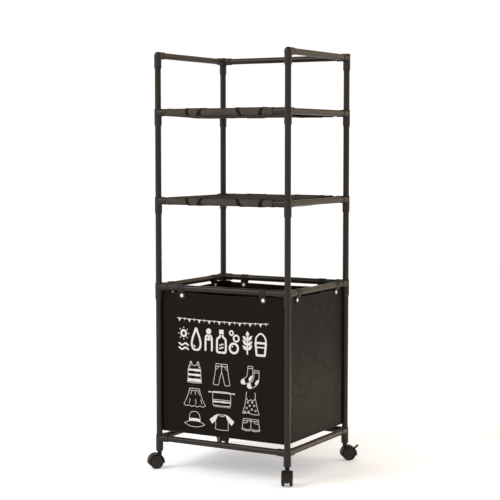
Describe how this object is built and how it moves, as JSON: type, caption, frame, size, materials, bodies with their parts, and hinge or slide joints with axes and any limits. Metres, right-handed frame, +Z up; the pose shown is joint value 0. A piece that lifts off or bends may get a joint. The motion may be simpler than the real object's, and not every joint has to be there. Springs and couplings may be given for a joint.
{
  "type": "laundry sorter cart",
  "caption": "Four-post tube cart on swivel casters with two cloth shelves above a hanging box-shaped laundry bag, and a low guard rail round the back and sides of the top.",
  "frame": {"origin": "on the floor, under the middle of the four posts", "axes": "+Z up, -Y towards the front where the bag's printed face is, +X to the right seen from the front"},
  "size_m": [0.4446, 0.392, 1.0845],
  "materials": {
    "tube_paint": "satin",
    "connector_plastic": "satin",
    "shelf_cloth": "coated cloth",
    "bag_cloth": "matte coated cloth",
    "strap_cloth": "woven",
    "base_board": "matte",
    "snap_plastic": "gloss",
    "caster_plastic": "satin",
    "wheel_plastic": "satin",
    "bright_steel": "zinc plated",
    "print_ink": "matte screen print"
  },
  "bodies": {
    "frame": {"connectors_bottom": "connector_plastic", "rail_bottom_front": "tube_paint", "rail_bottom_back": "tube_paint", "rail_bottom_left": "tube_paint", "rail_bottom_right": "tube_paint", "connectors_bag": "connector_plastic", "rail_bag_front": "tube_paint", "rail_bag_back": "tube_paint", "rail_bag_left": "tube_paint", "rail_bag_right": "tube_paint", "connectors_lower": "connector_plastic", "rail_lower_front": "tube_paint", "rail_lower_back": "tube_paint", "rail_lower_left": "tube_paint", "rail_lower_right": "tube_paint", "connectors_upper": "connector_plastic", "rail_upper_front": "tube_paint", "rail_upper_back": "tube_paint", "rail_upper_left": "tube_paint", "rail_upper_right": "tube_paint", "connectors_top": "connector_plastic", "rail_top_back": "tube_paint", "rail_top_left": "tube_paint", "rail_top_right": "tube_paint", "post_tubes_bottom_to_bag": "tube_paint", "post_tubes_bag_to_lower": "tube_paint", "post_tubes_lower_to_upper": "tube_paint", "post_tubes_upper_to_top": "tube_paint", "shelf_cloth_lower": "shelf_cloth", "shelf_cloth_upper": "shelf_cloth", "hamper_bag": "bag_cloth", "bag_base_board": "base_board", "bag_straps": "strap_cloth", "bag_snap_caps": "snap_plastic", "bag_snap_backs": "snap_plastic", "caster_bushes": "caster_plastic", "caster_stem_front_left": "bright_steel", "caster_stem_front_right": "bright_steel", "caster_stem_back_left": "bright_steel", "caster_stem_back_right": "bright_steel"},
    "caster_front_left": {"caster_hood_front_left": "caster_plastic", "caster_axle_front_left": "bright_steel"},
    "wheel_a_front_left": {"caster_wheel_a_front_left": "wheel_plastic"},
    "wheel_b_front_left": {"caster_wheel_b_front_left": "wheel_plastic"},
    "caster_front_right": {"caster_hood_front_right": "caster_plastic", "caster_axle_front_right": "bright_steel"},
    "wheel_a_front_right": {"caster_wheel_a_front_right": "wheel_plastic"},
    "wheel_b_front_right": {"caster_wheel_b_front_right": "wheel_plastic"},
    "caster_back_left": {"caster_hood_back_left": "caster_plastic", "caster_axle_back_left": "bright_steel", "brake_pin_back_left": "bright_steel"},
    "wheel_a_back_left": {"caster_wheel_a_back_left": "wheel_plastic"},
    "wheel_b_back_left": {"caster_wheel_b_back_left": "wheel_plastic"},
    "pedal_back_left": {"brake_pedal_back_left": "caster_plastic"},
    "caster_back_right": {"caster_hood_back_right": "caster_plastic", "caster_axle_back_right": "bright_steel", "brake_pin_back_right": "bright_steel"},
    "wheel_a_back_right": {"caster_wheel_a_back_right": "wheel_plastic"},
    "wheel_b_back_right": {"caster_wheel_b_back_right": "wheel_plastic"},
    "pedal_back_right": {"brake_pedal_back_right": "caster_plastic"}
  },
  "joints": [
    {"name": "swivel_front_left", "type": "hinge", "parent": "frame", "child": "caster_front_left", "pos_m": [-0.19, -0.163, 0.03], "axis": [0, 0, 1], "continuous": true},
    {"name": "roll_a_front_left", "type": "hinge", "parent": "caster_front_left", "child": "wheel_a_front_left", "pos_m": [-0.19695, -0.17019, 0.018], "axis": [0.7193, -0.6947, 0], "continuous": true},
    {"name": "roll_b_front_left", "type": "hinge", "parent": "caster_front_left", "child": "wheel_b_front_left", "pos_m": [-0.19695, -0.17019, 0.018], "axis": [0.7193, -0.6947, 0], "continuous": true},
    {"name": "swivel_front_right", "type": "hinge", "parent": "frame", "child": "caster_front_right", "pos_m": [0.19, -0.163, 0.03], "axis": [0, 0, 1], "continuous": true},
    {"name": "roll_a_front_right", "type": "hinge", "parent": "caster_front_right", "child": "wheel_a_front_right", "pos_m": [0.19438, -0.17199, 0.018], "axis": [0.8988, 0.4384, 0], "continuous": true},
    {"name": "roll_b_front_right", "type": "hinge", "parent": "caster_front_right", "child": "wheel_b_front_right", "pos_m": [0.19438, -0.17199, 0.018], "axis": [0.8988, 0.4384, 0], "continuous": true},
    {"name": "swivel_back_left", "type": "hinge", "parent": "frame", "child": "caster_back_left", "pos_m": [-0.19, 0.163, 0.03], "axis": [0, 0, 1], "continuous": true},
    {"name": "roll_a_back_left", "type": "hinge", "parent": "caster_back_left", "child": "wheel_a_back_left", "pos_m": [-0.19695, 0.17019, 0.018], "axis": [-0.7193, -0.6947, 0], "continuous": true},
    {"name": "roll_b_back_left", "type": "hinge", "parent": "caster_back_left", "child": "wheel_b_back_left", "pos_m": [-0.19695, 0.17019, 0.018], "axis": [-0.7193, -0.6947, 0], "continuous": true},
    {"name": "brake_back_left", "type": "hinge", "parent": "caster_back_left", "child": "pedal_back_left", "pos_m": [-0.20461, 0.17813, 0.02662], "axis": [-0.7193, -0.6947, 0], "range_deg": [0, 25]},
    {"name": "swivel_back_right", "type": "hinge", "parent": "frame", "child": "caster_back_right", "pos_m": [0.19, 0.163, 0.03], "axis": [0, 0, 1], "continuous": true},
    {"name": "roll_a_back_right", "type": "hinge", "parent": "caster_back_right", "child": "wheel_a_back_right", "pos_m": [0.19788, 0.16916, 0.018], "axis": [-0.6157, 0.788, 0], "continuous": true},
    {"name": "roll_b_back_right", "type": "hinge", "parent": "caster_back_right", "child": "wheel_b_back_right", "pos_m": [0.19788, 0.16916, 0.018], "axis": [-0.6157, 0.788, 0], "continuous": true},
    {"name": "brake_back_right", "type": "hinge", "parent": "caster_back_right", "child": "pedal_back_right", "pos_m": [0.20657, 0.17595, 0.02662], "axis": [-0.6157, 0.788, 0], "range_deg": [0, 25]}
  ]
}
